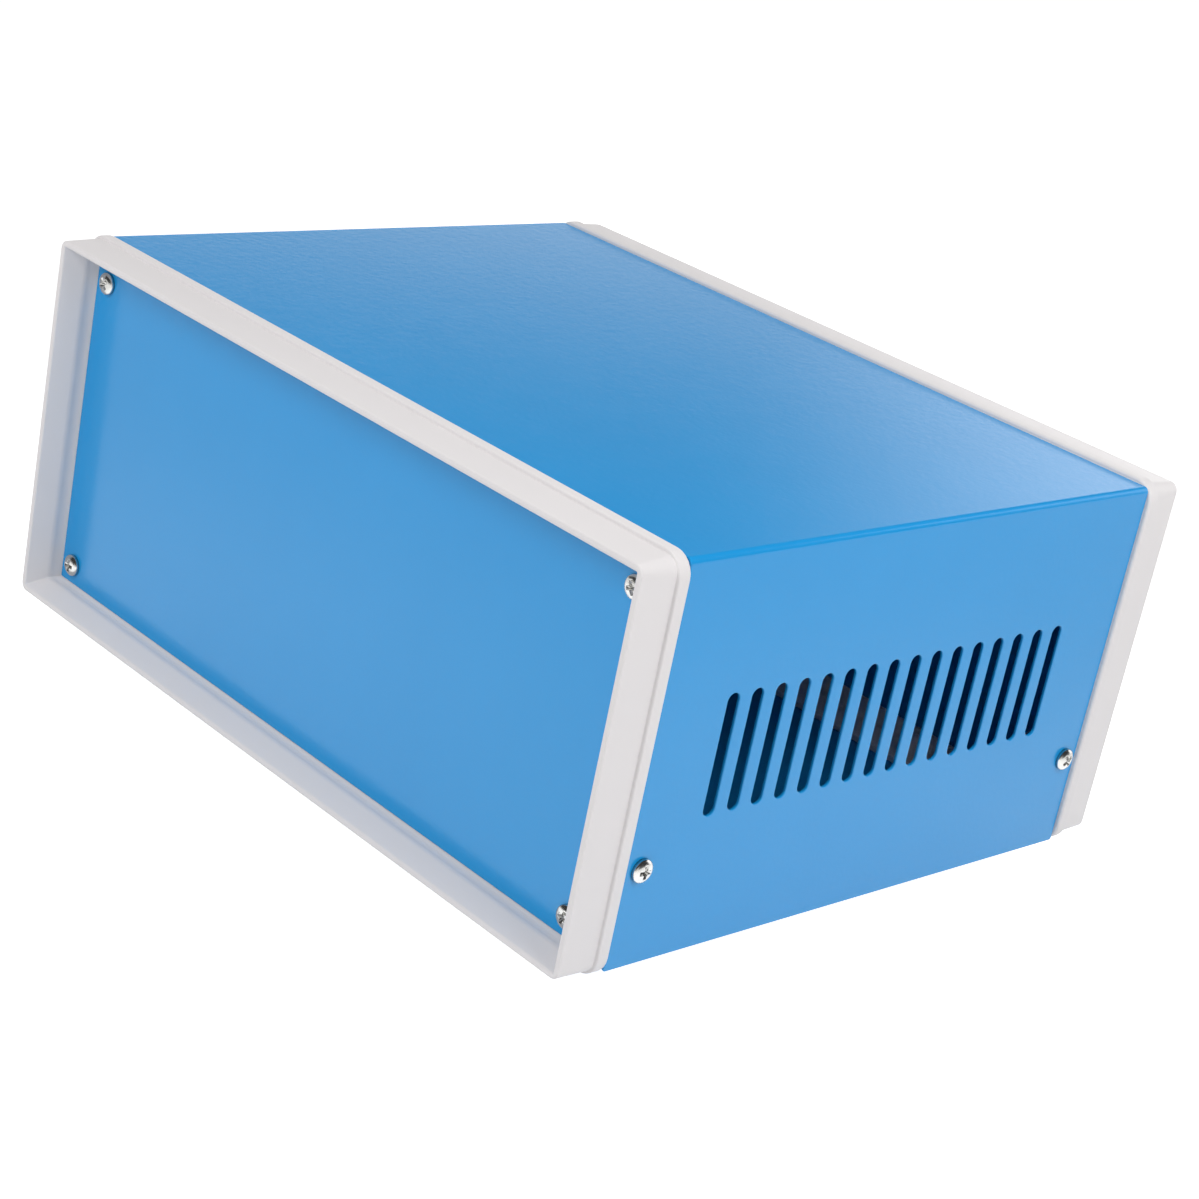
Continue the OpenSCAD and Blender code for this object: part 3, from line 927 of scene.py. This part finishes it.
def boss_lumps():
    """Bosses, their ribs and the wide part of the rim, as overlapping closed shapes."""
    bm = bmesh.new()
    for kind, place in boss_places:
        add_rod(bm, place, boss_diameter, -screw_length_in[kind] - boss_floor, -sink)
    rib_back = panel_seat - screw_length_in["panel"] - boss_floor
    rib_front = panel_seat - seat_thickness / 2
    half_rib = rib_thickness / 2
    for x, y in panel_screw_places:
        reach_x = math.copysign(body_width / 2 - rim_side - rim_wall / 2, x)
        reach_y = math.copysign(body_height / 2 - rim_level - rim_wall / 2, y)
        for low, high in (
            ((min(x, reach_x), y - half_rib), (max(x, reach_x), y + half_rib)),
            ((x - half_rib, min(y, reach_y)), (x + half_rib, max(y, reach_y))),
        ):
            add_block(bm, (*low, rib_back), (*high, rib_front))
    rim_foot = tray_height + rim_fit - body_height / 2
    rim_top = body_height / 2 - rim_level
    for side in (-1, 1):
        near = side * (body_width / 2 - rim_side - rim_wall / 2)
        far = side * (body_width / 2 - rim_level)
        low, high = sorted((near, far))
        add_block(bm, (low, rim_foot, -rim_depth), (high, rim_top, flange_thickness / 2))
    return bm


def boss_drills():
    """Blind screw holes, a little longer than their bosses at the mouth."""
    bm = bmesh.new()
    for kind, place in boss_places:
        add_rod(bm, place, tap_diameter, -screw_length_in[kind], sink)
    return bm


for end, place in ends.items():
    bm = combine(combine(bezel_frame(), boss_lumps(), "UNION"), boss_drills(), "DIFFERENCE")
    bm.transform(place)
    make_piece(f"{end}_bezel_moulding", bm, bezel_plastic, "bezel_plastic", f"{end}_bezel")

# %% [markdown]
# ## Screws
#
# The screws are small pan heads with a cross recess. The head and the core are round, so a
# profile of a few points is spun about the axis. The full spin merges its last step with its
# first, which leaves a closed skin.

# %% Spin a profile
spin_steps = 32


def spin_profile(bm, points, steps=spin_steps):
    """Spin a line of (radius, height) points round the Z axis into a closed skin."""
    verts = [bm.verts.new((r, 0, z)) for r, z in points]
    edges = [bm.edges.new(pair) for pair in zip(verts, verts[1:])]
    bmesh.ops.spin(
        bm, geom=verts + edges, cent=(0, 0, 0), axis=(0, 0, 1), dvec=(0, 0, 0),
        angle=2 * math.pi, steps=steps, use_merge=True, use_duplicate=False,
    )
    bmesh.ops.remove_doubles(bm, verts=bm.verts[:], dist=merge_distance)
    bmesh.ops.recalc_face_normals(bm, faces=bm.faces[:])


# %% [markdown]
# The recess is sunk by a punch with two crossed blades that narrow towards the bottom. The blades
# are closed shapes of their own, and a Boolean cuts them out of the head.

# %% Cross recess
head_height = 2.0 * MM
cross_length = 4.9 * MM
cross_width = 1.4 * MM
cross_depth = 1.3 * MM
cross_taper = 0.40


def cross_cutter():
    """Two crossed blades that narrow towards the bottom of the recess."""
    bm = bmesh.new()
    top, bottom = head_height + sink, head_height - cross_depth
    for turn in (0, math.pi / 2):
        blade = bmesh.ops.create_cube(
            bm, size=1,
            matrix=Matrix.Rotation(turn, 4, "Z") @ Matrix.LocRotScale(
                Vector((0, 0, (top + bottom) / 2)), None,
                Vector((cross_length, cross_width, top - bottom))),
        )["verts"]
        floor_corners = [v for v in blade if v.co.z < head_height - cross_depth / 2]
        bmesh.ops.scale(bm, vec=(cross_taper, cross_taper, 1), verts=floor_corners)
    return bm


# %% [markdown]
# The thread is a second spin that also climbs: a small V-shaped face goes round and up, and its
# path is the ridge. A Boolean joins it to the core. Bump in a material could fake it, but then
# the outline of a loose screw would be smooth.

# %% Thread
thread_diameter = 3.0 * MM
thread_pitch = 0.5 * MM
thread_depth = 0.27 * MM
thread_root = thread_diameter / 2 - thread_depth
thread_steps_share = 0.75
ridge_overlap = 0.05 * MM
ridge_foot = 0.4
ridge_crest = 0.06
bare_tip_turns = 1.6
bare_turns = 2.6


def thread_coil(length):
    """V-shaped ridge that climbs round the core, closed at both ends."""
    bm = bmesh.new()
    bottom = bare_tip_turns * thread_pitch - length
    climb = length - bare_turns * thread_pitch
    ridge = [
        (thread_root - ridge_overlap, -ridge_foot),
        (thread_diameter / 2, -ridge_crest),
        (thread_diameter / 2, ridge_crest),
        (thread_root - ridge_overlap, ridge_foot),
    ]
    verts = [bm.verts.new((r, 0, bottom + share * thread_pitch)) for r, share in ridge]
    face = bm.faces.new(verts)
    turns = climb / thread_pitch
    steps = round(turns * spin_steps * thread_steps_share)
    bmesh.ops.spin(
        bm, geom=[face, *face.edges, *face.verts], cent=(0, 0, 0), axis=(0, 0, 1),
        dvec=(0, 0, climb / steps), angle=2 * math.pi * turns, steps=steps,
        use_merge=False, use_duplicate=False,
    )
    bmesh.ops.recalc_face_normals(bm, faces=bm.faces[:])
    return bm


# %% [markdown]
# One master is made for each length and copied to its places. Its head stands on Z = 0, so a
# matrix that lies on a seat and points outwards is all that a copy needs.

# %% Master screw and its copies
head_diameter = 6.5 * MM
head_side = 0.7 * MM
crown_steps = 8
screw_tip = 0.5 * MM
mouth_angle = math.radians(35)
mouth_round = 0.04 * MM


def quarter_arc(steps):
    """Angles from 0 to a right angle."""
    return [math.radians(90 * k / steps) for k in range(steps + 1)]


def master_screw(length):
    """Screw whose head stands on Z = 0 and whose thread hangs below."""
    bm = bmesh.new()
    rim = head_diameter / 2
    dome = head_height - head_side
    crown = [(rim * math.sin(a), head_side + dome * math.cos(a)) for a in quarter_arc(crown_steps)]
    core = [(rim, 0), (thread_root, 0), (thread_root, screw_tip - length)]
    spin_profile(bm, [*crown, *core, (thread_root - screw_tip, -length), (0, -length)])
    bm = combine(bm, cross_cutter(), "DIFFERENCE")
    bm = combine(bm, thread_coil(length), "UNION")
    mouth = [e for e in sharp_edges(bm, mouth_angle) if min(v.co.z for v in e.verts) > head_side]
    soften(bm, mouth, mouth_round)
    return bm


def place_copies(master, matrices):
    """New bmesh with a copy of the master at every matrix; the master is used up."""
    mesh = bpy.data.meshes.new("master")
    master.to_mesh(mesh)
    master.free()
    bm = bmesh.new()
    for matrix in matrices:
        older = len(bm.verts)
        bm.from_mesh(mesh)
        bm.verts.ensure_lookup_table()
        bmesh.ops.transform(bm, matrix=matrix, verts=bm.verts[older:])
    bpy.data.meshes.remove(mesh)
    return bm


# %% [markdown]
# No two screws end up with the cross at the same angle, because each is driven until it is
# tight. So each copy is turned by a few degrees more than the one before it.

# %% Set the screws in their places
screw_turn = math.radians(37)


def driven(places):
    """Turn each place about its own axis, a bit further every time."""
    return [place @ Matrix.Rotation(screw_turn * k, 4, "Z") for k, place in enumerate(places)]


def set_screws(name, length, seats, node):
    """Make one piece of a set of equal screws."""
    bm = place_copies(master_screw(length), driven(seats))
    make_piece(name, bm, bright_zinc, "bright_zinc", node)


for end, end_place in ends.items():
    seats = [end_place @ Matrix.Translation((x, y, panel_face)) for x, y in panel_screw_places]
    set_screws(f"{end}_panel_pan_screws", panel_screw_length, seats, f"{end}_panel_screws")

for name, side in (("left", -1), ("right", 1)):
    seats = [
        Matrix.Translation((side * body_width / 2, y, cover_low.z + cover_screw_height))
        @ Matrix.Rotation(side * math.pi / 2, 4, "Y") for y in end_rows
    ]
    set_screws(f"{name}_cover_pan_screws", cover_screw_length, seats, f"{name}_cover_screws")

upside_down = Matrix.Rotation(math.pi, 4, "X")
for name, y in zip(("front", "rear"), end_rows):
    seats = [Matrix.Translation((x * tray_screw_gap / 2, y, tray_low.z)) @ upside_down for x in (-1, 1)]
    set_screws(f"{name}_tray_pan_screws", tray_screw_length, seats, f"{name}_tray_screws")

# %% [markdown]
# ## Feet
#
# Four rubber feet stand well in from the edges, out of sight from above. Each is a tapered plug
# with a deep hole, so that the screw's head and its washer never touch the table. A foot is a
# turned shape, so the spin helper serves again.

# %% Make the feet
foot_radius = 9.0 * MM
foot_taper = 1.5 * MM
foot_edge = 1.0 * MM
foot_edge_steps = 4
foot_sides = 48
foot_bore = 3.8 * MM
foot_seat = 3.5 * MM
foot_height = tray_low.z
foot_floor = foot_height - foot_seat
hole_radius = screw_hole / 2


def rubber_foot():
    """One foot, standing on Z = 0."""
    bm = bmesh.new()
    low = foot_radius - foot_taper
    rim = [
        (low - foot_edge + foot_edge * math.sin(a), foot_edge - foot_edge * math.cos(a))
        for a in quarter_arc(foot_edge_steps)
    ]
    outline = [(foot_bore, 0), *rim, (foot_radius, foot_height), (hole_radius, foot_height),
               (hole_radius, foot_floor), (foot_bore, foot_floor), (foot_bore, 0)]
    spin_profile(bm, outline, steps=foot_sides)
    return bm


for (x, y), name in zip(feet_places, ("front_left", "rear_left", "front_right", "rear_right")):
    bm = rubber_foot()
    bmesh.ops.translate(bm, vec=(x, y, 0), verts=bm.verts[:])
    make_piece(f"rubber_foot_{name}", bm, foot_rubber, "foot_rubber", f"foot_{name}")

# %% [markdown]
# A screw from below holds each foot. Its head presses a washer against the foot's seat, and a nut
# inside the tray takes its end. The nut is a six-sided `create_cone` with equal radii, softened
# before it is drilled, so that its hole stays crisp.

# %% Make the feet's screws, washers and nuts
washer_radius = 3.5 * MM
washer_thickness = 0.6 * MM
washer_round = 0.08 * MM
nut_width = 5.5 * MM
nut_height = 2.4 * MM
nut_round = 0.2 * MM
screw_past_nut = 1.0 * MM

washer_low = foot_floor - washer_thickness
foot_screw_length = washer_thickness + foot_seat + sheet_thickness + nut_height + screw_past_nut
seats = [Matrix.Translation((x, y, washer_low)) @ upside_down for x, y in feet_places]
set_screws("foot_pan_screws", foot_screw_length, seats, "foot_screws")

bm = bmesh.new()
spin_profile(bm, [(hole_radius, 0), (washer_radius, 0), (washer_radius, washer_thickness),
                  (hole_radius, washer_thickness), (hole_radius, 0)])
soften(bm, sharp_edges(bm), washer_round)
bm = place_copies(bm, [Matrix.Translation((x, y, washer_low)) for x, y in feet_places])
make_piece("foot_flat_washers", bm, bright_zinc, "bright_zinc", "foot_washers")

bm = bmesh.new()
corner_radius = nut_width / 2 / math.cos(math.pi / 6)
bmesh.ops.create_cone(
    bm, cap_ends=True, segments=6, radius1=corner_radius, radius2=corner_radius, depth=nut_height,
    matrix=Matrix.Translation((0, 0, nut_height / 2)),
)
soften(bm, sharp_edges(bm), nut_round)
drill = bmesh.new()
add_rod(drill, Matrix.Identity(4), tap_diameter, -sink, nut_height + sink)
bm = combine(bm, drill, "DIFFERENCE")
nut_seat = tray_low.z + sheet_thickness
bm = place_copies(bm, [Matrix.Translation((x, y, nut_seat)) for x, y in feet_places])
make_piece("foot_hex_nuts", bm, bright_zinc, "bright_zinc", "foot_nuts")
